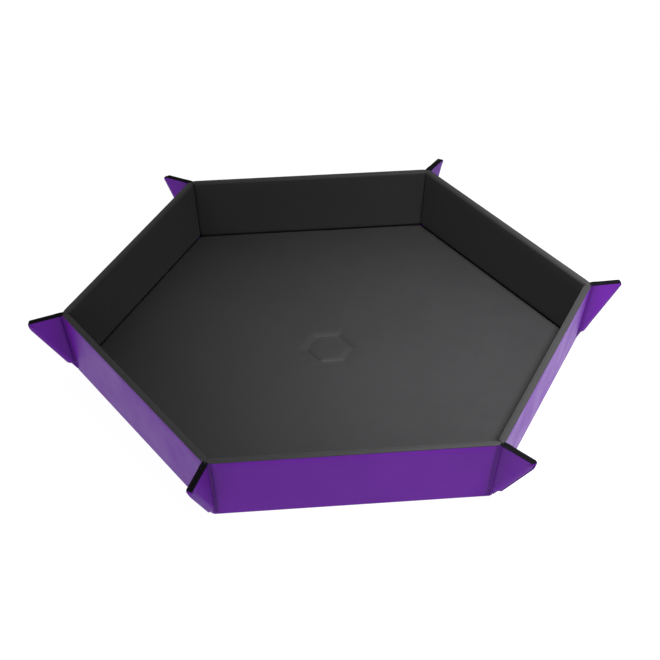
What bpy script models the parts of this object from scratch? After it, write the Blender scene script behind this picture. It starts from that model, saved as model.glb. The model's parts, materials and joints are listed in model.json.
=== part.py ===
"""Hexagonal folding dice tray, standing open with its six walls up.

A sheet of smooth cover runs under the whole tray and a soft lining runs over it. Stiff boards are
sealed between the two, so the sheets bend only on the lines between boards: at the foot of each wall,
and at each end of it, where a triangular flap starts. At each corner the flaps of two walls are pinched
together into an ear that stands out from the tray, and a magnet in each flap holds it shut. Lay the
walls down and the tray is one flat hexagon.

Frame: metres, +Z up, origin on the table at the middle of the underside, front wall towards -Y.
Each wall, and each flap, hangs from an empty that lies on its fold line. In that empty's frame the
panel lies in XY, with +Z towards the lining.
"""

import math

import bmesh
import bpy
from mathutils import Matrix, Vector

MM = 0.001

# Driving dimensions
SIDES = 6
FOLD_RADIUS = 109 * MM  # from the middle to each corner where two base folds meet
WALL_SLANT = 30 * MM  # from the base fold up to the rim, along the wall
WALL_LEAN = math.radians(7)  # outwards, from upright

# Layers, from the outside in. Every fold line lies FOLD_DEPTH inside the outer face.
COVER = 0.6 * MM
FLAP_COVER = 0.5 * MM
BOARD = 1.4 * MM
LINING = 0.6 * MM
LINED_BOARD = 0.9 * MM  # a flap's thinner board with the lining laminated onto it
GLUE = 0.2 * MM
FOLD_DEPTH = 0.8 * MM

# Room around the fold lines
BEAD_RADIUS = 0.75 * MM  # the rolled cover that turns on each fold line of a wall
BEAD_ROOM = 0.1 * MM
BEAD_END = 0.4 * MM  # how far below the rim it stops
BASE_GROOVE = 2.2 * MM  # from a base fold to the boards on both sides of it
FLAP_ROOM = 1.0 * MM  # from a flap's fold line to the flap
WALL_END_ROOM = 0.9 * MM  # from a flap's fold line to the wall's lining
EAR_SLIT = 0.2 * MM  # between the two flaps of an upright ear
FLAP_FOOT = 3.0 * MM  # how far above the base fold a flap's cover starts
FLAP_BOARD_FOOT = 5.5 * MM
BOARD_EDGE = 0.3 * MM  # how far a sheet runs past its board
TIP_RADIUS = 2.0 * MM
COVER_CORNER_CUT = 2 * MM  # how much of each side the base's cut corners take
BOARD_CORNER_CUT = 3 * MM

# Magnets, one in each flap
MAGNET_RADIUS = 4.0 * MM
MAGNET_THICKNESS = 0.6 * MM
MAGNET_ROOM = 0.1 * MM
MAGNET_FROM_FOLD = 6.2 * MM
MAGNET_FROM_RIM = 6.2 * MM
MAGNET_SEGMENTS = 32

# Directions in degrees, counterclockwise from +X and seen from above
WALLS = {
    "front": 270,
    "front_right": 330,
    "back_right": 30,
    "back": 90,
    "back_left": 150,
    "front_left": 210,
}
# A pinched ear can swing a little round its corner. This is how far each one stands from straight out.
EAR_SWING = {0: 11, 60: -4, 120: 22, 180: 11, 240: 4, 300: 16}
CLOCKWISE, COUNTERCLOCKWISE = 1, -1  # the end of a wall, as the sign of its x

# Mesh settings
WELD_DISTANCE = 0.001 * MM
SHARP_ANGLE = math.radians(35)
EMPTY_SIZE = 10 * MM

# Worked out from the above
SIDE_LENGTH = FOLD_RADIUS  # a regular hexagon's side equals its radius
HALF_STEP = math.pi / SIDES
FOLD_APOTHEM = FOLD_RADIUS * math.cos(HALF_STEP)
WALL_FOLD = math.pi / 2 - WALL_LEAN  # how far a wall turns between lying flat and standing
END_SLANT = math.atan(math.sin(WALL_LEAN) * math.tan(HALF_STEP))  # a wall's end, from square
EAR_FOLD = math.acos(math.cos(WALL_LEAN) * math.sin(HALF_STEP))  # between a wall and its corner's plane
BASE_TOP = COVER + GLUE + BOARD + GLUE + LINING
FLAP_INNER_FACE = GLUE + FLAP_COVER - FOLD_DEPTH + LINED_BOARD
FLAP_SHIFT = (FLAP_INNER_FACE + EAR_SLIT / 2) / math.sin(EAR_FOLD) / math.cos(END_SLANT)
FLAP_FOLD_X = SIDE_LENGTH / 2 - FLAP_SHIFT  # where a flap's fold line meets the base fold


def meet(point_a, along_a, point_b, along_b):
    """Where two lines in the plane cross."""
    cross = along_a.x * along_b.y - along_a.y * along_b.x
    gap = point_b - point_a
    return point_a + along_a * ((gap.x * along_b.y - gap.y * along_b.x) / cross)


def inset(corners, amounts):
    """A counterclockwise polygon with each side moved inwards. amounts[i] is for the side after corner i."""
    count = len(corners)
    lines = []
    for i, corner in enumerate(corners):
        along = (corners[(i + 1) % count] - corner).normalized()
        lines.append((corner + Vector((-along.y, along.x)) * amounts[i], along))
    return [meet(*lines[i - 1], *lines[i]) for i in range(count)]


def rounded(corners, index, radius, steps=6):
    """The polygon with the corner at index turned into an arc."""
    before, corner, after = corners[index - 1], corners[index], corners[(index + 1) % len(corners)]
    to_before, to_after = (before - corner).normalized(), (after - corner).normalized()
    half = to_before.angle(to_after) / 2
    centre = corner + (to_before + to_after).normalized() * (radius / math.sin(half))
    first = corner + to_before * (radius / math.tan(half)) - centre
    turn = math.pi - 2 * half
    arc = [centre + Matrix.Rotation(turn * k / steps, 2) @ first for k in range(steps + 1)]
    return corners[:index] + arc + corners[index + 1 :]


def polygon(radius, cut):
    """The tray's hexagon with this corner radius, each corner cut straight across."""
    points = []
    for k in range(SIDES):
        corner = Vector((radius, 0))
        for side in (-1, 1):
            to_next = Vector((math.cos(side * 2 * HALF_STEP), math.sin(side * 2 * HALF_STEP))) * radius
            points.append(Matrix.Rotation(2 * HALF_STEP * k, 2) @ (corner + (to_next - corner).normalized() * cut))
    return points


def evaluated_mesh(obj):
    """A welded mesh of the object as its modifiers leave it. The object is removed."""
    bpy.context.scene.collection.objects.link(obj)
    graph = bpy.context.evaluated_depsgraph_get()
    mesh = bpy.data.meshes.new_from_object(obj.evaluated_get(graph), depsgraph=graph)
    mesh.transform(obj.matrix_basis)
    bpy.data.objects.remove(obj)
    shape = bmesh.new()
    shape.from_mesh(mesh)
    bmesh.ops.remove_doubles(shape, verts=shape.verts, dist=WELD_DISTANCE)
    bmesh.ops.recalc_face_normals(shape, faces=shape.faces)
    shape.to_mesh(mesh)
    shape.free()
    return mesh


def sheet(outline, low, high):
    """A flat piece of this outline between two heights."""
    curve = bpy.data.curves.new("outline", "CURVE")
    curve.dimensions = "2D"
    curve.fill_mode = "BOTH"
    curve.extrude = (high - low) / 2
    spline = curve.splines.new("POLY")
    spline.points.add(len(outline) - 1)
    for point, (x, y) in zip(spline.points, outline):
        point.co = (x, y, 0, 1)
    spline.use_cyclic_u = True
    obj = bpy.data.objects.new("outline", curve)
    obj.location.z = (low + high) / 2
    return evaluated_mesh(obj)


def rod(path, radius):
    """A round wire along this path in XY."""
    curve = bpy.data.curves.new("rod", "CURVE")
    curve.dimensions = "3D"
    curve.bevel_depth = radius
    curve.bevel_resolution = 2
    curve.use_fill_caps = True
    spline = curve.splines.new("POLY")
    spline.points.add(len(path) - 1)
    for point, (x, y) in zip(spline.points, path):
        point.co = (x, y, 0, 1)
    return evaluated_mesh(bpy.data.objects.new("rod", curve))


def disc(x, y, radius, low, high):
    """An upright cylinder at (x, y) between two heights."""
    shape = bmesh.new()
    place = Matrix.Translation((x, y, (low + high) / 2))
    bmesh.ops.create_cone(
        shape,
        cap_ends=True,
        segments=MAGNET_SEGMENTS,
        radius1=radius,
        radius2=radius,
        depth=high - low,
        matrix=place,
    )
    mesh = bpy.data.meshes.new("disc")
    shape.to_mesh(mesh)
    shape.free()
    return mesh


def combined(mesh, other, operation):
    """The two meshes after one Boolean."""
    first = bpy.data.objects.new("first", mesh)
    second = bpy.data.objects.new("second", other)
    bpy.context.scene.collection.objects.link(second)
    boolean = first.modifiers.new("boolean", "BOOLEAN")
    boolean.operation = operation
    boolean.object = second
    result = evaluated_mesh(first)
    bpy.data.objects.remove(second)
    return result


def smooth(mesh):
    mesh.shade_smooth()
    mesh.set_sharp_from_angle(angle=SHARP_ANGLE)
    return mesh


def wall_corners(foot, head, end_room):
    """A wall's outline between its flaps' fold lines, from that far above the base fold to the head."""
    slope = math.tan(END_SLANT)
    half = FLAP_FOLD_X - end_room / math.cos(END_SLANT)
    low, high = half + foot * slope, half + head * slope
    return [Vector(p) for p in ((-low, foot), (low, foot), (high, head), (-high, head))]


def flap_corners(foot, edge):
    """A flap's outline in its own frame: y up its fold line, x away from the wall. Counterclockwise.

    The crease of the ear is the ray from the tray's corner point, half a step from square to the rim.
    edge moves the crease and the rim inwards.
    """
    to_flap = Matrix.Rotation(END_SLANT, 2)
    corner_point = to_flap @ Vector((FLAP_SHIFT, 0))
    crease = to_flap @ Vector((math.sin(HALF_STEP), math.cos(HALF_STEP)))
    rim = to_flap @ Vector((1, 0))
    rim_point = to_flap @ Vector((0, WALL_SLANT - edge))
    foot_point = to_flap @ Vector((0, foot))
    crease_point = corner_point + Vector((-crease.y, crease.x)) * (EAR_SLIT / 2 + edge)
    fold_point, fold = Vector((FLAP_ROOM, 0)), Vector((0, 1))
    corners = [
        meet(fold_point, fold, foot_point, rim),
        meet(crease_point, crease, foot_point, rim),
        meet(crease_point, crease, rim_point, rim),
        meet(fold_point, fold, rim_point, rim),
    ]
    return rounded(corners, 2, TIP_RADIUS - edge)


def base_meshes():
    """The cover, board and lining of the base, between z = 0 and its top face."""
    to_bead = (BEAD_RADIUS + BEAD_ROOM) / math.cos(HALF_STEP)
    to_lining = BASE_GROOVE / math.cos(HALF_STEP)
    to_board = (BASE_GROOVE + BOARD_EDGE) / math.cos(HALF_STEP)
    board_low = COVER + GLUE
    board_high = board_low + BOARD
    return {
        "cover": sheet(polygon(FOLD_RADIUS - to_bead, COVER_CORNER_CUT), 0, COVER),
        "board": sheet(polygon(FOLD_RADIUS - to_board, BOARD_CORNER_CUT), board_low, board_high),
        "lining": sheet(polygon(FOLD_RADIUS - to_lining, BOARD_CORNER_CUT), board_high + GLUE, BASE_TOP),
    }


def wall_meshes():
    """The cover, board and lining of one wall, in its empty's frame."""
    outer, cover_top = -FOLD_DEPTH, COVER - FOLD_DEPTH
    board_low = cover_top + GLUE
    board_high = board_low + BOARD
    face = sheet(wall_corners(0, WALL_SLANT, 0), outer, cover_top)
    foot_left, foot_right, head_right, head_left = wall_corners(0, WALL_SLANT - BEAD_END, 0)
    bead = rod([head_left, foot_left, foot_right, head_right], BEAD_RADIUS)
    lined = wall_corners(BASE_GROOVE, WALL_SLANT, WALL_END_ROOM)
    return {
        "cover": smooth(combined(face, bead, "UNION")),
        "board": sheet(inset(lined, [BOARD_EDGE] * 4), board_low, board_high),
        "lining": sheet(lined, board_high + GLUE, board_high + GLUE + LINING),
    }


def flap_meshes(end):
    """The cover, lined board and magnet of one flap, in its empty's frame. end is the sign of its x."""
    outer, cover_top = -FOLD_DEPTH, FLAP_COVER - FOLD_DEPTH
    board_low = cover_top + GLUE
    magnet_y = WALL_SLANT / math.cos(END_SLANT) - MAGNET_FROM_RIM
    magnet_low = board_low + MAGNET_ROOM
    magnet_high = magnet_low + MAGNET_THICKNESS
    pocket = disc(
        MAGNET_FROM_FOLD, magnet_y, MAGNET_RADIUS + MAGNET_ROOM, board_low - LINED_BOARD, magnet_high + MAGNET_ROOM
    )
    plate = sheet(flap_corners(FLAP_BOARD_FOOT, BOARD_EDGE), board_low, board_low + LINED_BOARD)
    meshes = {
        "cover": sheet(flap_corners(FLAP_FOOT, 0), outer, cover_top),
        "lined_board": combined(plate, pocket, "DIFFERENCE"),
        "magnet": disc(MAGNET_FROM_FOLD, magnet_y, MAGNET_RADIUS, magnet_low, magnet_high),
    }
    for mesh in meshes.values():
        if end == COUNTERCLOCKWISE:
            mesh.transform(Matrix.Scale(-1, 4, (1, 0, 0)))
            mesh.flip_normals()
        smooth(mesh)
    return meshes


def material(name, colour, roughness, metallic=0.0):
    made = bpy.data.materials.new(name)
    made.use_nodes = True
    shader = made.node_tree.nodes["Principled BSDF"]
    shader.inputs["Base Color"].default_value = (*colour, 1)
    shader.inputs["Roughness"].default_value = roughness
    shader.inputs["Metallic"].default_value = metallic
    made.diffuse_color = (*colour, 1)
    return made


def add_panel(name, meshes, materials, parent, collection):
    """One object for each layer of a panel, hung from the panel's empty."""
    for layer, mesh in meshes.items():
        obj = bpy.data.objects.new(f"{name}_{layer}", mesh)
        if not mesh.materials:
            mesh.materials.append(materials[layer])
        obj.parent = parent
        collection.objects.link(obj)


def add_empty(name, matrix, parent, collection):
    empty = bpy.data.objects.new(name, None)
    empty.empty_display_size = EMPTY_SIZE
    empty.parent = parent
    empty.matrix_basis = matrix
    collection.objects.link(empty)
    return empty


def wall_place(azimuth):
    """A standing wall's frame: x along its base fold, y up the wall, z to the inside."""
    direction = math.radians(azimuth)
    to_wall = Matrix.Rotation(direction - math.pi / 2, 4, "Z")
    on_fold = Matrix.Translation((0, FOLD_APOTHEM, FOLD_DEPTH))
    return to_wall @ on_fold @ Matrix.Rotation(WALL_FOLD, 4, "X")


def flap_place(azimuth, end):
    """A pinched flap's frame in its wall's frame: y up its fold line, turned outwards about it."""
    corner = (azimuth - end * 180 // SIDES) % 360
    fold = EAR_FOLD + end * math.radians(EAR_SWING[corner])
    on_fold = Matrix.Translation((end * FLAP_FOLD_X, 0, 0)) @ Matrix.Rotation(-end * END_SLANT, 4, "Z")
    return on_fold @ Matrix.Rotation(end * fold, 4, "Y")


def build():
    for obj in list(bpy.data.objects):
        bpy.data.objects.remove(obj)
    tray = bpy.data.collections.new("folding_dice_tray")
    bpy.context.scene.collection.children.link(tray)

    materials = {
        "cover": material("cover_purple", (0.12, 0.026, 0.28), 0.45),
        "lining": material("lining_black", (0.035, 0.034, 0.036), 0.9),
        "board": material("board_grey", (0.35, 0.32, 0.28), 0.95),
        "lined_board": material("lined_board_black", (0.04, 0.039, 0.041), 0.9),
        "magnet": material("magnet_nickel", (0.62, 0.61, 0.6), 0.25, 1.0),
    }
    walls = wall_meshes()
    flaps = {end: flap_meshes(end) for end in (CLOCKWISE, COUNTERCLOCKWISE)}
    end_names = {CLOCKWISE: "clockwise", COUNTERCLOCKWISE: "counterclockwise"}

    centre = add_empty("tray_centre", Matrix.Identity(4), None, tray)
    add_panel("base", base_meshes(), materials, centre, tray)
    for wall, azimuth in WALLS.items():
        fold = add_empty(f"{wall}_wall_fold", wall_place(azimuth), centre, tray)
        add_panel(f"{wall}_wall", walls, materials, fold, tray)
        for end, word in end_names.items():
            ear = add_empty(f"{wall}_{word}_flap_fold", flap_place(azimuth, end), fold, tray)
            add_panel(f"{wall}_{word}_flap", flaps[end], materials, ear, tray)


build()
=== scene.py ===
"""Looks of the hexagonal folding dice tray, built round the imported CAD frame.

A purple imitation-leather cover runs outside and underneath, and a charcoal microfibre lining runs
inside. Both are bonded to stiff boards, so each sheet is built here panel by panel: the base, six walls,
and two flaps at every corner, pinched together into an ear. A wall's cover bends round its base fold, and
a flap's cover and lining start on the wall and bend round the flap's fold.

Panel coordinates, in metres: across (x on a wall, s on a flap, measured from the flap's fold line away
from the wall), y up the panel from the base fold, and n through it, positive towards the lining.
"""
import json
import math

import bmesh
import bpy
from mathutils import Matrix, Vector


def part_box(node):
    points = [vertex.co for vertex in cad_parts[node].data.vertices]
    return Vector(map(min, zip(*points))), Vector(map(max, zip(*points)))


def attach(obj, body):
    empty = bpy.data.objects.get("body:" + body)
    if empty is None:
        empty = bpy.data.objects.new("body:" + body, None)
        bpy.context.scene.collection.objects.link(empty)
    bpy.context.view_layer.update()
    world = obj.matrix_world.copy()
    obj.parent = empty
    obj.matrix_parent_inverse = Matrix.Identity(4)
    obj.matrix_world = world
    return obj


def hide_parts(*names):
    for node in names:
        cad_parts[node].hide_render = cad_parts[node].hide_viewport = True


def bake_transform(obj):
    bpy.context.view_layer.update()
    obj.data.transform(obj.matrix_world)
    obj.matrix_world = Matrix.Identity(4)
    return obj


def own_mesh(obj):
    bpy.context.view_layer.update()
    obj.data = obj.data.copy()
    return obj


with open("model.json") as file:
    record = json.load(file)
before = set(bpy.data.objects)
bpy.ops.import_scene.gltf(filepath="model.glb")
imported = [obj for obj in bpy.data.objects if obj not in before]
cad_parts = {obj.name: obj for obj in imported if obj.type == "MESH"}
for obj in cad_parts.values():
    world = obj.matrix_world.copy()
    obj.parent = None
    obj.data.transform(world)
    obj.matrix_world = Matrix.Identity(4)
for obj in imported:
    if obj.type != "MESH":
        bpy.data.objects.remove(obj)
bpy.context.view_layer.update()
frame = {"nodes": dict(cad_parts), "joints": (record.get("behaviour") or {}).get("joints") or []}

MM = 0.001

# The sheets as they show
SKIN = 0.45 * MM  # thickness of the cover and of the lining, but for the ears' small pieces
RIM_ROUND = 1.3 * MM  # radius of the lining where it turns onto a wall's rim
RIM_EDGE = 0.3 * MM  # how far the lining reaches down past the outer edge of the rim
SEAM = 0.07 * MM  # the line between cover and lining there
TONGUE = 0.35 * MM  # height of the lining over the fold lines, where there is no board
TONGUE_GAP = 0.12 * MM
GROOVE = 2.2 * MM  # from a base fold to the boards beside it
GROOVE_ROUND = 0.6 * MM
TONGUE_RISE = 0.3 * MM  # of the lining from its tongue towards the board
SEAM_TUCK = 0.14 * MM  # how far the sheets dip into the seam below the rim
HALF_STEP = math.pi / 6  # half the angle between neighbouring corners of the hexagon

# The ears, and the folds beside them
FOLD_REACH = 3.0 * MM  # where a flap's cover starts on its wall
LINING_REACH = 1.7 * MM  # where a flap's lining starts on its wall
BEND = 1.3 * MM  # half the length of the bend between wall and flap
VALLEY = 0.6 * MM  # how far the cover sinks along the flap's fold line
VALLEY_WIDTH = 1.1 * MM
VALLEY_MIDDLE = 0.5 * MM
VALLEY_START = 2.5 * MM  # above the ear's foot, where the valley reaches its depth
SHADE_ON_WALL, SHADE_ON_FLAP = 1.2 * MM, 4.5 * MM  # how far the painted shade beside the fold reaches
EAR_FACE = -0.45 * MM  # n of a flap's outer face
EAR_FOOT = 0.5 * MM  # how far above the base fold an ear's sheets start
BOARD_FOOT = 5.2 * MM  # where a flap's sheets reach their full thickness over its board
BOARD_FADE = 1.3 * MM
WEB = 0.7 * MM  # half the thickness of an ear below its boards
ROLL_IN = 1.5 * MM  # from the start of the rolled crease to the crease line
ROLL_OUT = 1.1 * MM  # how far the rolled crease stands out past the crease line
ROLL_FADE = 3.5 * MM  # below the tip, where the roll starts to thin out
TIP_OUT = 0.3 * MM  # how far the tip stands out past the crease line
TIP_ROUND = 1.2 * MM
EAR_DROOP = 0.038  # how much less steeply an ear's top climbs than the wall's rim would
EDGE_START = 0.7 * MM  # where the dark edge on an ear's top starts, from the fold line
CORNER_ROUND = 1.7 * MM  # radius of the fold lines' corner at the foot of an ear

WALL_ORDER = ("front", "front_right", "back_right", "back", "back_left", "front_left")
FLAP_SIDES = {"clockwise": 1, "counterclockwise": -1}
JOINTS = {joint["name"]: joint for joint in frame["joints"]}


def smoothstep(value, start, end):
    t = min(max((value - start) / (end - start), 0.0), 1.0)
    return t * t * (3 - 2 * t)


def reach(node, origin, direction):
    """How far a CAD node reaches along a direction, as (least, most) from the origin."""
    along = [(vertex.co - origin).dot(direction) for vertex in frame["nodes"][node].data.vertices]
    return min(along), max(along)


# --- The panels' places, read from the joints ---------------------------------------------------------


class Wall:
    """A standing wall: origin in the middle of its base fold, and its x, y and n directions."""

    def __init__(self, name):
        self.name, self.body = name, f"{name}_wall"
        fold = JOINTS[f"{name}_wall_fold"]
        self.origin = Vector(fold["pos_m"])
        self.x = -Vector(fold["axis"]).normalized()
        end = Vector(JOINTS[f"{name}_clockwise_flap_fold"]["axis"]) * -1
        self.n = self.x.cross(end).normalized()
        self.y = self.n.cross(self.x)
        self.out = Vector((self.origin.x, self.origin.y, 0)).normalized()
        self.angle = math.acos(self.y.dot(self.out))  # from lying flat
        self.height = reach(f"{name}_wall_cover", self.origin, self.y)[1]
        self.outer = reach(f"{name}_wall_cover", self.origin, self.n)[0]
        self.inner = reach(f"{name}_wall_lining", self.origin, self.n)[1]

    def place(self, x, y, n):
        return self.origin + self.x * x + self.y * y + self.n * n

    def below(self, x, turn):
        """On the cover, that far round the base fold from the underside."""
        radius = -self.outer
        down = Vector((0, 0, radius * math.cos(turn)))
        return self.origin + self.x * x + self.out * radius * math.sin(turn) - down


class Flap:
    """A pinched flap, in the coordinates of its fold line."""

    def __init__(self, wall, side_name):
        self.wall, self.side = wall, FLAP_SIDES[side_name]
        self.body = f"{wall.name}_{side_name}_flap"
        fold = JOINTS[f"{self.body}_fold"]
        self.joint = fold["name"]
        self.origin = Vector(fold["pos_m"])
        self.y = Vector(fold["axis"]).normalized() * -self.side
        self.flat = self.y.cross(wall.n) * self.side  # away from the wall, in the wall's plane
        self.angle = math.radians(fold["range_deg"][1])
        self.out = self.flat * math.cos(self.angle) - wall.n * math.sin(self.angle)
        self.n = wall.n * math.cos(self.angle) + self.flat * math.sin(self.angle)
        self.slant = math.acos(min(1, self.y.dot(wall.y)))
        self.climb = math.atan(math.tan(self.slant) - EAR_DROOP)  # of the ear's top
        self.fold_x = abs((self.origin - wall.origin).dot(wall.x))
        corner = wall.origin.xy.length * math.tan(HALF_STEP) - self.fold_x
        self.corner = Vector((corner * math.cos(self.slant), corner * math.sin(self.slant)))
        self.crease = HALF_STEP - self.slant  # of the crease, from the fold line
        self.inner = reach(f"{self.body}_lined_board", self.origin, self.n)[1]
        self.mid = self.inner + 0.1 * MM  # n of the plane between the ear's two flaps

    def rim(self, s):
        return self.wall.height / math.cos(self.slant) + s * math.tan(self.slant if s < 0 else self.climb)

    def crease_at(self, y):
        return self.corner.x + (y - self.corner.y) * math.tan(self.crease)

    def bend(self, s, n):
        """(along the wall's plane, along the wall's n) of a point near the fold."""
        if s >= BEND:
            return (
                s * math.cos(self.angle) + n * math.sin(self.angle),
                n * math.cos(self.angle) - s * math.sin(self.angle),
            )
        if s <= -BEND:
            return s, n
        radius = BEND / math.tan(self.angle / 2)
        turn = self.angle * (s + BEND) / (2 * BEND)
        return (radius + n) * math.sin(turn) - BEND, (radius + n) * math.cos(turn) - radius

    def place(self, s, y, n):
        along, through = self.bend(s, n)
        return self.origin + self.y * y + self.flat * along + self.wall.n * through


WALLS = [Wall(name) for name in WALL_ORDER]
FLAPS = [Flap(wall, side) for wall in WALLS for side in FLAP_SIDES]


# --- Mesh helpers --------------------------------------------------------------------------------------


def grid_piece(name, rows, outward, material, thickness=SKIN, cyclic=False, shades=None):
    """A sheet through rows of points, thickened inwards. outward is a direction its middle faces.

    shades gives each point its share of the painted shade in a tight fold, from 0 to 1.
    """
    shape = bmesh.new()
    shade = shape.verts.layers.float.new("fold_shade")
    made = [[shape.verts.new(point) for point in row] for row in rows]
    if shades:
        for vertices, values in zip(made, shades):
            for vertex, value in zip(vertices, values):
                vertex[shade] = value
    for low, high in zip(made, made[1:]):
        count = len(low) if cyclic else len(low) - 1
        for i in range(count):
            j = (i + 1) % len(low)
            shape.faces.new((low[i], low[j], high[j], high[i]))
    bmesh.ops.remove_doubles(shape, verts=shape.verts, dist=0.002 * MM)
    bmesh.ops.dissolve_degenerate(shape, edges=shape.edges, dist=0.001 * MM)
    shape.normal_update()
    facing = sum((face.normal * face.calc_area() for face in shape.faces), Vector())
    if facing.dot(outward) < 0:
        bmesh.ops.reverse_faces(shape, faces=shape.faces)
    shape.edges.index_update()
    border = [edge.is_boundary for edge in shape.edges]  # keeps the thickness from bending the normals
    mesh = bpy.data.meshes.new(name)
    shape.to_mesh(mesh)
    shape.free()
    mesh.shade_smooth()
    sharp = mesh.attributes.new("sharp_edge", "BOOLEAN", "EDGE")
    sharp.data.foreach_set("value", border)
    mesh.materials.append(material)
    obj = bpy.data.objects.new(name, mesh)
    bpy.context.scene.collection.objects.link(obj)
    if thickness:
        solidify = obj.modifiers.new("thickness", "SOLIDIFY")
        solidify.thickness = thickness
        solidify.offset = -1
        solidify.use_even_offset = False
    return obj


def spread(start, end, steps):
    return [start + (end - start) * k / steps for k in range(steps + 1)]


def arc(centre_y, centre_n, radius_y, radius_n, start, end, steps):
    """Points (y, n) on an ellipse, by the angle from +n towards +y, in degrees."""
    found = []
    for degrees in spread(start, end, steps):
        turn = math.radians(degrees)
        found.append((centre_y + radius_y * math.sin(turn), centre_n + radius_n * math.cos(turn)))
    return found


# --- Materials -----------------------------------------------------------------------------------------


class Shader:
    """A node material under construction."""

    def __init__(self, name, **sockets):
        self.material = bpy.data.materials.new(name)
        self.material.use_nodes = True
        self.nodes = self.material.node_tree.nodes
        self.links = self.material.node_tree.links
        self.principled = self.nodes["Principled BSDF"]
        for socket, value in sockets.items():
            self.principled.inputs[socket.replace("_", " ")].default_value = value
        self.place = self.add("ShaderNodeTexCoord").outputs["Object"]

    def add(self, kind, **settings):
        node = self.nodes.new(kind)
        for key, value in settings.items():
            setattr(node, key, value)
        return node

    def link(self, source, target):
        self.links.new(source, target)

    def noise(self, scale, detail=3.0, roughness=0.55, distortion=0.0):
        node = self.add("ShaderNodeTexNoise")
        node.inputs["Scale"].default_value = scale
        node.inputs["Detail"].default_value = detail
        node.inputs["Roughness"].default_value = roughness
        node.inputs["Distortion"].default_value = distortion
        self.link(self.place, node.inputs["Vector"])
        return node.outputs["Fac"]

    def cells(self, scale):
        node = self.add("ShaderNodeTexVoronoi", feature="F1")
        node.inputs["Scale"].default_value = scale
        self.link(self.place, node.inputs["Vector"])
        return node.outputs["Distance"]

    def ramp(self, factor, *stops):
        node = self.add("ShaderNodeValToRGB")
        elements = node.color_ramp.elements
        while len(elements) < len(stops):
            elements.new(0.5)
        for element, (position, colour) in zip(elements, stops):
            element.position = position
            element.color = (*colour, 1) if len(colour) == 3 else colour
        self.link(factor, node.inputs["Fac"])
        return node.outputs["Color"]

    def fit(self, value, low, high, from_low=0.0, from_high=1.0):
        node = self.add("ShaderNodeMapRange")
        node.inputs["From Min"].default_value = from_low
        node.inputs["From Max"].default_value = from_high
        node.inputs["To Min"].default_value = low
        node.inputs["To Max"].default_value = high
        self.link(value, node.inputs["Value"])
        return node.outputs["Result"]

    def mix(self, factor, a, b):
        node = self.add("ShaderNodeMix", data_type="RGBA", blend_type="MIX")
        for value, socket in ((factor, node.inputs[0]), (a, node.inputs[6]), (b, node.inputs[7])):
            if isinstance(value, (int, float)):
                socket.default_value = value
            elif isinstance(value, tuple):
                socket.default_value = (*value, 1)
            else:
                self.link(value, socket)
        return node.outputs[2]

    def bump(self, height, distance, strength=1.0, after=None):
        node = self.add("ShaderNodeBump")
        node.inputs["Distance"].default_value = distance
        node.inputs["Strength"].default_value = strength
        self.link(height, node.inputs["Height"])
        if after is not None:
            self.link(after, node.inputs["Normal"])
        return node.outputs["Normal"]

    def finish(self, colour=None, roughness=None, normal=None):
        for source, socket in ((colour, "Base Color"), (roughness, "Roughness"), (normal, "Normal")):
            if source is not None:
                self.link(source, self.principled.inputs[socket])
        return self.material


def cover_material():
    """Smooth purple imitation leather: a fine pebbled grain under a satin finish, with painted shade in the
    folds.
    """
    shader = Shader("purple_leather", Specular_IOR_Level=0.12)
    patches = shader.noise(28, detail=4)
    colour = shader.ramp(patches, (0.3, (0.089, 0.0048, 0.222)), (0.7, (0.101, 0.0062, 0.246)))
    # Painted shade: the colour is mixed towards a dark purple beside the flaps' fold lines
    fold = shader.add("ShaderNodeAttribute", attribute_name="fold_shade").outputs["Fac"]
    colour = shader.mix(shader.fit(fold, 0.0, 0.62), colour, (0.03, 0.0015, 0.075))
    speckle = shader.noise(1900, detail=2)
    colour = shader.mix(shader.fit(speckle, 0.0, 0.35, 0.45, 0.8), colour, (0.072, 0.004, 0.185))
    roughness = shader.fit(shader.noise(60, detail=5), 0.36, 0.5, 0.3, 0.7)
    pebbles = shader.cells(1500)
    grain = shader.bump(pebbles, 0.00003, 0.35)
    wave = shader.bump(shader.noise(45, detail=2), 0.00025, 0.3, after=grain)
    return shader.finish(colour, roughness, wave)


def lining_material(name, shade, specular, sheen):
    """Charcoal microfibre: a short, slightly uneven nap."""
    shader = Shader(name, Specular_IOR_Level=specular, Sheen_Weight=sheen, Sheen_Roughness=0.6)
    patches = shader.noise(22, detail=5, roughness=0.6)
    light, dark = tuple(c * 1.15 for c in shade), tuple(c * 0.55 for c in shade)
    colour = shader.ramp(patches, (0.3, shade), (0.7, light))
    nap = shader.noise(5200, detail=2, roughness=0.7)
    colour = shader.mix(shader.fit(nap, 0.0, 0.5, 0.4, 0.75), colour, dark)
    roughness = shader.fit(shader.noise(120, detail=4), 0.55, 0.68, 0.3, 0.7)
    fibres = shader.bump(nap, 0.00004, 0.35)
    brushed = shader.bump(shader.noise(300, detail=3, distortion=0.6), 0.00006, 0.25, after=fibres)
    return shader.finish(colour, roughness, brushed)


def board_material():
    """Grey board with short pressed fibres."""
    shader = Shader("grey_board")
    fibres = shader.noise(900, detail=6, distortion=1.2)
    colour = shader.ramp(fibres, (0.35, (0.26, 0.24, 0.21)), (0.65, (0.4, 0.37, 0.33)))
    roughness = shader.fit(fibres, 0.85, 0.97)
    return shader.finish(colour, roughness, shader.bump(fibres, 0.00005, 0.5))


def magnet_material():
    """Nickel plate with faint scuffs."""
    shader = Shader("nickel_plate", Metallic=1.0)
    scuffs = shader.noise(700, detail=6, distortion=2.0)
    colour = shader.ramp(scuffs, (0.4, (0.56, 0.55, 0.53)), (0.6, (0.66, 0.65, 0.63)))
    roughness = shader.fit(scuffs, 0.18, 0.36, 0.35, 0.65)
    return shader.finish(colour, roughness, shader.bump(scuffs, 0.00001, 0.3))


COVER = cover_material()
LINING = lining_material("charcoal_microfibre", (0.011, 0.0106, 0.0115), 0.22, 0.05)
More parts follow.
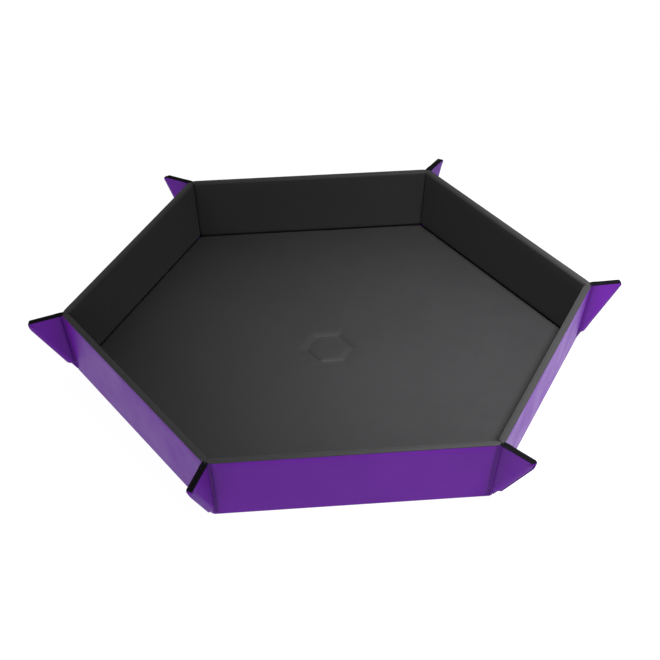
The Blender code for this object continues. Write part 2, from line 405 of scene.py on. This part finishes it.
# The same fabric as the floor's, made a little lighter to match the photo: painted light, a lit copy of the
# floor's lining for the walls and flaps
WALL_LINING_PAINTED_LIGHT = lining_material("charcoal_microfibre_walls", (0.0136, 0.0131, 0.0141), 0.22, 0.06)
# The ears' dark top edges. The photo doesn't show what they are made of
EDGE = lining_material("pinched_edge", (0.0025, 0.0021, 0.0032), 0.04, 0.0)
BOARD = board_material()
MAGNET = magnet_material()


# --- The base ------------------------------------------------------------------------------------------

FOLD_APOTHEM = WALLS[0].origin.xy.length
FOLD_RADIUS = FOLD_APOTHEM / math.cos(HALF_STEP)
FOLD_HEIGHT = WALLS[0].origin.z
BASE_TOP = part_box("base_lining")[1][2]


def hexagon(radius, z, corner, steps=5, sides=8):
    """A ring of points on a hexagon with rounded corners. radius is to the sharp corner."""
    points = []
    centre = radius - corner / math.cos(HALF_STEP)
    for k in range(6):
        direction = math.radians(60 * k)
        middle = Vector((math.cos(direction), math.sin(direction))) * centre
        for turn in spread(-HALF_STEP, HALF_STEP, steps):
            points.append(middle + Vector((math.cos(direction + turn), math.sin(direction + turn))) * corner)
        here = points[-1]
        after = math.radians(60 * (k + 1))
        next_middle = Vector((math.cos(after), math.sin(after))) * centre
        there = next_middle + Vector((math.cos(after - HALF_STEP), math.sin(after - HALF_STEP))) * corner
        points += [here.lerp(there, j / sides) for j in range(1, sides)]
    return [Vector((*point, z)) for point in points]


MARK_RADIUS = 10.5 * MM
MARK_LINE = 0.9 * MM
MARK_DEPTH = 0.22 * MM
MARK_CORNER = 1.4 * MM
MARK_PROFILE = ((0, 0), (0.12, 0.5), (0.3, 1), (0.7, 1), (0.88, 0.5), (1, 0))  # (across the line, depth)
MARK_RINGS = (6, 3)  # mm, inside the mark
FLOOR_CORNER = 1.6 * MM
FLOOR_RINGS = (90, 70, 50, 30, 16)  # mm, from the grooves to the mark


def base_lining():
    """The floor: flat over the board, rounded down into the grooves, with a plain pressed hexagon."""
    low = FOLD_HEIGHT + TONGUE
    rings = [(TONGUE_GAP, low), (GROOVE - TONGUE_RISE, low), (GROOVE, low + TONGUE_RISE)]
    shoulder = arc(BASE_TOP - GROOVE_ROUND, 0, GROOVE_ROUND, GROOVE_ROUND, 0, 90, 5)
    rings += [(GROOVE + GROOVE_ROUND - n, y) for y, n in shoulder]
    rows = [hexagon(FOLD_RADIUS - inset / math.cos(HALF_STEP), z, FLOOR_CORNER) for inset, z in rings]
    for radius in FLOOR_RINGS:
        rows.append(hexagon(radius * MM, BASE_TOP, FLOOR_CORNER))
    for share, depth in MARK_PROFILE:
        z = BASE_TOP - depth * MARK_DEPTH
        rows.append(hexagon(MARK_RADIUS - share * MARK_LINE, z, MARK_CORNER))
    for radius in MARK_RINGS:
        rows.append(hexagon(radius * MM, BASE_TOP, 0.8 * MM))
    rows.append([Vector((0, 0, BASE_TOP))] * len(rows[0]))
    return grid_piece("floor_lining", rows, Vector((0, 0, 1)), LINING, cyclic=True)


def base_cover():
    """The underside, out to the fold lines."""
    rows = [hexagon(FOLD_RADIUS - 0.02 * MM, 0, CORNER_ROUND)]
    for radius in (104, 90, 60, 30):
        rows.append(hexagon(radius * MM, 0, CORNER_ROUND))
    rows.append([Vector((0, 0, 0))] * len(rows[0]))
    return grid_piece("base_cover_sheet", rows, Vector((0, 0, -1)), COVER, cyclic=True)


def corner_tuck(number):
    """The rounded corner of the cover below an ear, between the feet of two walls."""
    direction = math.radians(60 * number)
    outward = Vector((math.cos(direction), math.sin(direction), 0))
    wall = WALLS[0]
    radius = -wall.outer
    lean = wall.y.dot(wall.out)
    centre = outward * (FOLD_RADIUS - CORNER_ROUND / math.cos(HALF_STEP))
    profile = []
    for turn in spread(0, wall.angle, 6):
        profile.append((radius * math.sin(turn), FOLD_HEIGHT - radius * math.cos(turn)))
    reach_up = 0.9 * MM
    profile.append((profile[-1][0] + reach_up * lean, profile[-1][1] + reach_up))
    profile.append((profile[-1][0] - 0.35 * MM, profile[-1][1] + 0.2 * MM))
    profile.append((-0.9 * MM, profile[-1][1] + 0.1 * MM))
    rows = []
    for out, z in profile:
        row = []
        for turn in spread(-HALF_STEP, HALF_STEP, 8):
            toward = Vector((math.cos(direction + turn), math.sin(direction + turn), 0))
            row.append(centre + toward * (CORNER_ROUND + out) + Vector((0, 0, z)))
        rows.append(row)
    return grid_piece(f"corner_tuck_{number}", rows, outward, COVER)


# --- The walls -----------------------------------------------------------------------------------------


def wall_row(wall, flap, y, gap, place):
    """One row of a wall between its two flaps' fold lines, less the gap at each end."""
    half = flap.fold_x + y * math.tan(flap.slant) - gap
    ends = (0.0, 0.02, 0.05)
    shares = list(ends) + spread(0.1, 0.9, 8) + [1 - share for share in reversed(ends)]
    return [place((2 * share - 1) * half) for share in shares]


def wall_cover(wall, flap):
    """From the underside round the base fold and up the outer face to the seam below the rim."""
    low_gap = -0.4 * MM
    rows = []
    for turn in spread(0, wall.angle, 7):
        rows.append(wall_row(wall, flap, 0, low_gap, lambda x: wall.below(x, turn)))
    top = wall.height - RIM_EDGE - SEAM
    faces = [(0.45 * MM, low_gap, 0), (0.55 * MM, FOLD_REACH, 0)]
    faces += [(y, FOLD_REACH, 0) for y in spread(2 * MM, top - 0.15 * MM, 8)]
    faces += [(top - 0.05 * MM, FOLD_REACH, 0.03 * MM), (top, FOLD_REACH, SEAM_TUCK)]
    for y, gap, n in faces:
        rows.append(wall_row(wall, flap, y, gap, lambda x: wall.place(x, y, wall.outer + n)))
    return grid_piece(f"{wall.name}_wall_cover_sheet", rows, -wall.n, COVER)


def lining_profile(height, inner, outer, rim_round):
    """(y, n) points of the lining from the top of the groove over the board and over the rim."""
    points = arc(GROOVE + GROOVE_ROUND, inner - GROOVE_ROUND, -GROOVE_ROUND, GROOVE_ROUND, 90, 0, 5)
    points += [(y, inner) for y in spread(GROOVE + 3 * GROOVE_ROUND, height - rim_round, 6)]
    points += arc(height - rim_round, inner - rim_round, rim_round, rim_round, 0, 90, 7)[1:]
    points += arc(height - RIM_EDGE, outer + RIM_EDGE, RIM_EDGE, -RIM_EDGE, 90, 0, 5)
    points.append((height - RIM_EDGE - SEAM, outer + SEAM_TUCK))
    return points


def wall_lining(wall, flap):
    """From the base fold through the groove, up the inner face and over the rim to the cover."""
    low_gap = 0.2 * MM
    tongue = [(TONGUE_GAP, TONGUE), (GROOVE - TONGUE_RISE, TONGUE), (GROOVE, TONGUE + TONGUE_RISE)]
    rows = [wall_row(wall, flap, y, low_gap, lambda x: wall.place(x, y, n)) for y, n in tongue]
    for y, n in lining_profile(wall.height, wall.inner, wall.outer, RIM_ROUND):
        rows.append(wall_row(wall, flap, y, LINING_REACH, lambda x: wall.place(x, y, n)))
    # painted light: this lining is a lighter copy of the floor's fabric
    return grid_piece(f"{wall.name}_wall_lining_sheet", rows, wall.n, WALL_LINING_PAINTED_LIGHT)


# --- The ears ------------------------------------------------------------------------------------------


def outer_face(flap, s, y):
    """n of the cover's outer face: level on wall and flap, sunk along the fold, thin below the board."""
    level = flap.wall.outer + (EAR_FACE - flap.wall.outer) * smoothstep(s, 0, 5 * MM)
    sunk = VALLEY * math.exp(-(((s - VALLEY_MIDDLE) / VALLEY_WIDTH) ** 2))
    sunk *= smoothstep(s, -FOLD_REACH, -FOLD_REACH * 0.4)
    sunk *= smoothstep(y, EAR_FOOT, EAR_FOOT + VALLEY_START)
    thin = (1 - smoothstep(y, BOARD_FOOT - BOARD_FADE, BOARD_FOOT)) * smoothstep(s, -0.6 * MM, 1.6 * MM)
    return (level + sunk) * (1 - thin) + (flap.mid - WEB) * thin


def fold_shade(s):
    """Painted shade: how much the cover's colour darkens beside a flap's fold line, set by place on the
    surface and standing in for the shade in the fold.
    """
    width = SHADE_ON_WALL if s < 0 else SHADE_ON_FLAP
    return math.exp(-abs(s / width) ** 1.5) * smoothstep(s, -FOLD_REACH, -FOLD_REACH * 0.5)


class Outline:
    """A flap's outline past its fold line: the crease, the rounded tip, and the rim, in (s, y)."""

    def __init__(self, flap):
        self.flap = flap
        self.crease_normal, self.rim_normal = -flap.crease, math.pi / 2 + flap.climb
        self.up = Vector((math.sin(flap.crease), math.cos(flap.crease)))
        self.along = Vector((math.cos(flap.climb), math.sin(flap.climb)))
        s = 0.0
        for _ in range(40):
            s = flap.crease_at(flap.rim(s)) + TIP_OUT / math.cos(flap.crease)
        self.tip = Vector((s, flap.rim(s)))
        between = math.pi - (self.rim_normal - self.crease_normal)
        self.cut = TIP_ROUND / math.tan(between / 2)
        self.centre = self.tip - self.up * self.cut - self.facing(self.crease_normal) * TIP_ROUND
        self.peak = (self.crease_normal + self.rim_normal) / 2
        foot_s = flap.crease_at(EAR_FOOT) + TIP_OUT / math.cos(flap.crease)
        self.foot = Vector((foot_s, EAR_FOOT))

    @staticmethod
    def facing(turn):
        return Vector((math.cos(turn), math.sin(turn)))

    def side(self, q):
        """(point, outward normal) up the crease (q 0 to 1) and round to the tip (1 to 2)."""
        if q <= 1:
            end = self.tip - self.up * self.cut
            return self.foot.lerp(end, q), self.facing(self.crease_normal)
        normal = self.facing(self.crease_normal + (self.peak - self.crease_normal) * (q - 1))
        return self.centre + normal * TIP_ROUND, normal

    def top(self, q):
        """The same from the wall along the rim (q 0 to 1) and down to the tip (1 to 2)."""
        if q <= 1:
            start = Vector((-FOLD_REACH, self.flap.rim(0) - FOLD_REACH * math.tan(self.flap.climb)))
            return start.lerp(self.tip - self.along * self.cut, q), self.facing(self.rim_normal)
        normal = self.facing(self.rim_normal + (self.peak - self.rim_normal) * (q - 1))
        return self.centre + normal * TIP_ROUND, normal

    def roll(self, q):
        """(start inside the outline, reach past it, share of the way to the plain edge at the tip)."""
        point, _ = self.side(q)
        board = smoothstep(point.y, BOARD_FOOT - BOARD_FADE, BOARD_FOOT)
        near_tip = smoothstep(point.y, self.tip.y - ROLL_FADE, self.side(2)[0].y)
        start = TIP_OUT + ROLL_IN * (0.35 + 0.65 * board)
        out = 0.1 * MM - TIP_OUT + (ROLL_OUT - 0.1 * MM) * board
        return start + (RIM_EDGE - start) * near_tip, out * (1 - near_tip), near_tip

    def inside(self, q):
        """Where the cover ends and the rolled crease starts."""
        point, normal = self.side(q)
        return point - normal * self.roll(q)[0]

    def under_rim(self, s):
        """Height of the cover's top edge."""
        level = self.flap.rim(s) - RIM_EDGE / math.cos(self.flap.climb)
        arc_radius = TIP_ROUND - RIM_EDGE
        past = s - self.centre.x + arc_radius * math.sin(self.flap.climb)
        if past <= 0:
            return level
        across = min(s - self.centre.x, arc_radius)
        return self.centre.y + math.sqrt(arc_radius**2 - across**2)

    def row_end(self, share):
        """The q at which a row at this share of the height meets the rolled crease."""
        low, high = 0.0, 2.0
        for _ in range(40):
            middle = (low + high) / 2
            point = self.inside(middle)
            if point.y < EAR_FOOT + share * (self.under_rim(point.x) - EAR_FOOT):
                low = middle
            else:
                high = middle
        return (low + high) / 2


SLIT = 0.04 * MM  # from a flap's sheets to the ear's middle plane
SECTION_STEPS = 10
FACE_SHARES = (0.2, 0.4, 0.6, 0.76, 0.88, 0.94, 0.97, 0.985, 1)  # closer together towards the tip
FINE_REACH = 2.8 * MM  # where the finely divided part of a flap's cover ends
ROLL_SKIN = 0.3 * MM
EDGE_SKIN = 0.2 * MM
FLAP_LINING_SKIN = 0.25 * MM


def row_shares():
    """Shares of an ear's height, closer together at the foot of the board and at the tip."""
    return spread(0, 0.19, 9) + spread(0.25, 0.85, 7) + [0.9, 0.94, 0.97, 0.985, 1]


def edge_section(flap, face, steps):
    """(d, n) points over the plain edge, from the outer face to the slit. d is out past the outline."""
    found = arc(-RIM_EDGE, face + RIM_EDGE, RIM_EDGE, -RIM_EDGE, 0, 90, steps - 2)
    deep = flap.mid - SLIT
    return found + [(0, (found[-1][1] + deep) / 2), (0, deep)]


def roll_section(flap, face, start, out, steps):
    """(d, n) points round the rolled crease, from the outer face to the slit."""
    deep = flap.mid - SLIT - face
    turns = [math.pi / 2 * (k / steps) ** 1.25 for k in range(steps + 1)]
    return [(-start + (start + out) * math.sin(turn), face + deep * (1 - math.cos(turn))) for turn in turns]


def flap_cover(flap, outline):
    """From the wall round the fold and over the flap's outer face, to the rolled crease."""
    rows, shades = [], []
    for share in row_shares():
        end = outline.inside(outline.row_end(share)).x
        bend = spread(-FOLD_REACH, min(FINE_REACH, end - 0.3 * MM), 18)
        row, shade = [], []
        for s in bend + [bend[-1] + (end - bend[-1]) * part for part in FACE_SHARES]:
            y = EAR_FOOT + share * (outline.under_rim(s) - EAR_FOOT)
            row.append(flap.place(s, y, outer_face(flap, s, y)))
            # each point's share of the painted shade in the fold
            shade.append(fold_shade(s))
        rows.append(row)
        shades.append(shade)
    return grid_piece(f"{flap.body}_cover_sheet", rows, -flap.n - flap.wall.n, COVER, shades=shades)


def flap_roll(flap, outline):
    """The crease's half of the fold between the ear's two flaps."""
    rows = []
    for share in row_shares():
        q = outline.row_end(share)
        point, normal = outline.side(q)
        start, out, near_tip = outline.roll(q)
        inside = outline.inside(q)
        face = outer_face(flap, inside.x, inside.y)
        round_way = roll_section(flap, face, start, out, SECTION_STEPS)
        plain_way = edge_section(flap, face, SECTION_STEPS)
        row = []
        for (d_a, n_a), (d_b, n_b) in zip(round_way, plain_way):
            place = point + normal * (d_a + (d_b - d_a) * near_tip)
            row.append(flap.place(place.x, place.y, n_a + (n_b - n_a) * near_tip))
        rows.append(row)
    return grid_piece(f"{flap.body}_crease_roll", rows, flap.out - flap.n, COVER, thickness=ROLL_SKIN)


def flap_edge(flap, outline):
    """The dark pinched edge on top of the ear."""
    first = (EDGE_START + FOLD_REACH) / (outline.tip.x + FOLD_REACH)
    rows = []
    for q in spread(first, 1, 10) + spread(1, 2, 6)[1:]:
        point, normal = outline.top(q)
        inside = point - normal * RIM_EDGE
        face = outer_face(flap, inside.x, inside.y) - 0.01 * MM
        section = edge_section(flap, face, SECTION_STEPS)
        section += [(-0.12 * MM, flap.mid - 0.03 * MM), (-1.2 * MM, flap.mid - 0.03 * MM)]
        rows.append([flap.place(point.x + normal.x * d, point.y + normal.y * d, n) for d, n in section])
    return grid_piece(f"{flap.body}_top_edge", rows, flap.y, EDGE, thickness=EDGE_SKIN)


def flap_lining(flap):
    """From the wall's lining round the fold, over the flap's inner face and under its top edge."""
    rows = []
    wall = flap.wall
    count = len(lining_profile(wall.height, wall.inner, wall.outer, RIM_ROUND))
    for k in range(count):
        row = []
        y_here = lining_profile(flap.rim(0), wall.inner, wall.outer, RIM_ROUND)[k][0]
        end = max(min(flap.crease_at(y_here), flap.crease_at(flap.rim(0)) - 1.5 * MM) - 0.4 * MM, 0.2 * MM)
        for share in spread(0, 1, 18):
            s = -LINING_REACH + (end + LINING_REACH) * share**1.4
            on_flap = smoothstep(s, -LINING_REACH, 2.0 * MM)
            inner = wall.inner + (flap.inner - wall.inner) * on_flap
            tucked = smoothstep(s, 0.3 * MM, 1.6 * MM)
            top = flap.rim(s) - 0.3 * MM * tucked
            outer = outer_face(flap, s, flap.rim(s)) + 0.3 * MM * tucked
            rim_round = RIM_ROUND + (0.2 * MM - RIM_ROUND) * on_flap
            y, n = lining_profile(top, inner, outer, rim_round)[k]
            row.append(flap.place(s, y, n))
        rows.append(row)
    facing = flap.n + wall.n
    # painted light: this lining is a lighter copy of the floor's fabric
    return grid_piece(f"{flap.body}_lining_sheet", rows, facing, WALL_LINING_PAINTED_LIGHT, thickness=FLAP_LINING_SKIN)


# --- Putting it together -------------------------------------------------------------------------------


def flap_sheet(flap, wrap):
    """Works out the length of a flap's sheet, from its rim and the wrap, and does nothing more with it."""
    length = flap.rim(0) + wrap


def build_base():
    floor = base_lining()
    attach(floor, "base")
    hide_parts("base_lining")
    under = base_cover()
    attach(under, "base")
    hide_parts("base_cover")
    for number in range(6):
        tuck = corner_tuck(number)
        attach(tuck, "base")


def build_wall(wall):
    """A wall's cover, built in place round its base fold, and its lining, which rides the wall."""
    flap = next(flap for flap in FLAPS if flap.wall is wall)
    cover = wall_cover(wall, flap)
    middle = wall.origin
    bisector = (wall.out + Vector((0, 0, 1))).normalized()
    radius = -wall.outer
    start, end = middle - bisector * radius * 0.7, middle + bisector * radius * 0.63
    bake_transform(cover)
    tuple(start)
    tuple(end)
    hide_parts(f"{wall.body}_cover")
    lining = wall_lining(wall, flap)
    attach(lining, wall.body)
    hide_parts(f"{wall.body}_lining")


def build_flap(flap):
    """A flap's cover and lining, built in place round its fold, and its dark top edge and rolled crease,
    which ride the flap.
    """
    outline = Outline(flap)
    cover = flap_cover(flap, outline)
    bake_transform(cover)
    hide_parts(f"{flap.body}_cover")
    flap_sheet(flap, 0)
    lining = flap_lining(flap)
    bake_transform(lining)
    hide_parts(f"{flap.body}_lined_board")
    flap_sheet(flap, flap.inner - EAR_FACE)
    edge = flap_edge(flap, outline)
    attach(edge, flap.body)
    roll = flap_roll(flap, outline)
    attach(roll, flap.body)
    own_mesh(roll)


def colour_boards_and_magnets():
    """These stay the frame's own pieces, with materials of their own."""
    for name, node in frame["nodes"].items():
        if name.endswith("_magnet"):
            node.data.materials.clear()
            node.data.materials.append(MAGNET)
        elif name.endswith("_board") and not name.endswith("lined_board"):
            node.data.materials.clear()
            node.data.materials.append(BOARD)


# --- Camera, floor and light ---------------------------------------------------------------------------

# The camera, in side lengths of the base's outer hexagon
CAMERA_AZIMUTH = math.radians(-5.607)
CAMERA_ELEVATION = math.radians(37.864)
CAMERA_ROLL = math.radians(0.147)
CAMERA_DISTANCE = 6.280
CAMERA_RIGHT, CAMERA_UP = 0.0009, 0.0964
FOCAL_SHARE = 1572.7 / 660  # focal length over the width of the view
SENSOR_MM = 36
FLOOR_DROP = 0.05 * MM  # of the stage floor, below the tray
FLOOR_GLOW = 0.94  # the stage floor gives off light, which keeps it white under the tray
POOL_CONE = math.radians(22.6)
WORLD_LIGHT = 0.4


def make_camera():
    """The photo's camera, from a fit to the tray's long straight edges."""
    side = FOLD_RADIUS + -WALLS[0].outer / math.cos(HALF_STEP)
    azimuth, elevation = CAMERA_AZIMUTH, CAMERA_ELEVATION
    level = math.cos(elevation)
    back = Vector((math.sin(azimuth) * level, -math.cos(azimuth) * level, math.sin(elevation)))
    right = Vector((math.cos(azimuth), math.sin(azimuth), 0))
    up = back.cross(right)
    right, up = (
        right * math.cos(CAMERA_ROLL) + up * math.sin(CAMERA_ROLL),
        up * math.cos(CAMERA_ROLL) - right * math.sin(CAMERA_ROLL),
    )
    data = bpy.data.cameras.new("camera")
    data.sensor_width = SENSOR_MM
    data.lens = SENSOR_MM * FOCAL_SHARE
    data.clip_start, data.clip_end = 0.05, 20
    camera = bpy.data.objects.new("camera", data)
    place = (back * CAMERA_DISTANCE + right * CAMERA_RIGHT + up * CAMERA_UP) * side
    turn = Matrix((right, up, back)).transposed()
    camera.matrix_world = Matrix.Translation(place) @ turn.to_4x4()
    bpy.context.scene.collection.objects.link(camera)
    bpy.context.scene.camera = camera


def make_floor():
    """A wide pale floor, for the view only."""
    mesh = bpy.data.meshes.new("floor")
    shape = bmesh.new()
    bmesh.ops.create_grid(shape, x_segments=1, y_segments=1, size=4)
    shape.to_mesh(mesh)
    shape.free()
    floor = bpy.data.objects.new("floor", mesh)
    floor.location.z = -FLOOR_DROP
    shader = Shader("pale_floor", Roughness=0.9, Specular_IOR_Level=0.1)
    shader.principled.inputs["Emission Color"].default_value = (1, 1, 1, 1)
    shader.principled.inputs["Emission Strength"].default_value = FLOOR_GLOW
    colour = shader.ramp(shader.noise(3), (0.4, (0.115,) * 3), (0.6, (0.125,) * 3))
    mesh.materials.append(shader.finish(colour))
    bpy.context.scene.collection.objects.link(floor)


def aim_light(name, kind, place, toward, power):
    """A light at a place, turned towards a point. Returns its data, for its size and shape."""
    data = bpy.data.lights.new(name, kind)
    data.energy = power
    light = bpy.data.objects.new(name, data)
    light.location = place
    light.rotation_euler = (Vector(toward) - Vector(place)).to_track_quat("-Z", "Y").to_euler()
    bpy.context.scene.collection.objects.link(light)
    return data


def area_light(name, place, toward, side, power):
    data = aim_light(name, "AREA", place, toward, power)
    data.shape, data.size = "SQUARE", side


def make_light():
    """Soft studio light, with a pool of light on the front right of the tray's floor."""
    world = bpy.data.worlds.new("studio")
    world.use_nodes = True
    background = world.node_tree.nodes["Background"]
    background.inputs["Color"].default_value = (1, 1, 1, 1)
    background.inputs["Strength"].default_value = WORLD_LIGHT
    bpy.context.scene.world = world
    area_light("key", (0.9, -0.5, 1.1), (0, 0, 0), 0.9, 1.8)
    area_light("fill", (-0.7, -0.9, 0.5), (0, 0, 0.02), 0.6, 5.2)
    area_light("top", (-0.1, 0.2, 1.5), (0, 0, 0), 1.4, 2)
    pool = aim_light("pool", "SPOT", (0.35, -0.2, 0.9), (0.1, -0.05, 0), 118)
    pool.spot_size, pool.spot_blend = POOL_CONE, 1
    pool.shadow_soft_size = 0.08
    bpy.context.scene.view_settings.view_transform = "Standard"


build_base()
for each_wall in WALLS:
    build_wall(each_wall)
for each_flap in FLAPS:
    build_flap(each_flap)
colour_boards_and_magnets()
make_camera()
make_floor()
make_light()
